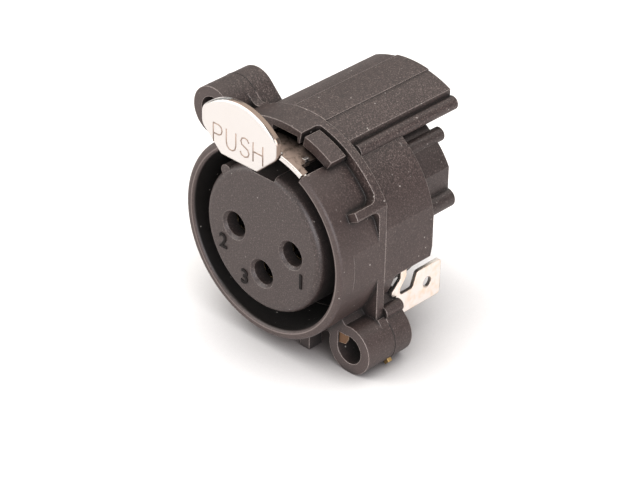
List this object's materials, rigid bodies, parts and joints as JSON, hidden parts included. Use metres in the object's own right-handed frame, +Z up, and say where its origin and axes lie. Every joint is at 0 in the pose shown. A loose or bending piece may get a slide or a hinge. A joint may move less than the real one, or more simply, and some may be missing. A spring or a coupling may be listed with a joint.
{
  "type": "three-pole panel socket",
  "caption": "Round panel-mount audio socket with a push-tab latch, numbered pin holes, two screw bosses, a roofed drum and a ground solder lug.",
  "frame": {"origin": "on the connector's axis, in the plane where the screw bosses seat on the back of the panel", "axes": "-Y out of the mating face towards the plug, +Z up through the push tab, +X to the right seen from the front"},
  "size_m": [0.0242, 0.0245, 0.0285],
  "materials": {
    "shell": "finely grained moulded black",
    "carrier": "smooth moulded black",
    "contact": "bare turned brass",
    "latch": "bright nickel plate",
    "spring": "plain spring steel",
    "tinned_sheet": "tinned sheet"
  },
  "bodies": {
    "housing": {"front_shell": "shell", "rear_shell": "shell", "insert": "carrier", "contact_1": "contact", "contact_2": "contact", "contact_3": "contact", "ground_lug": "tinned_sheet", "screw_contact": "contact", "latch_spring": "spring"},
    "latch": {"latch_lever": "latch"}
  },
  "joints": [
    {"name": "latch_pivot", "type": "hinge", "parent": "housing", "child": "latch", "pos_m": [0, -0.00175, 0.00885], "axis": [1, 0, 0], "range_deg": [0, 5], "deforming": ["latch_spring"]}
  ]
}
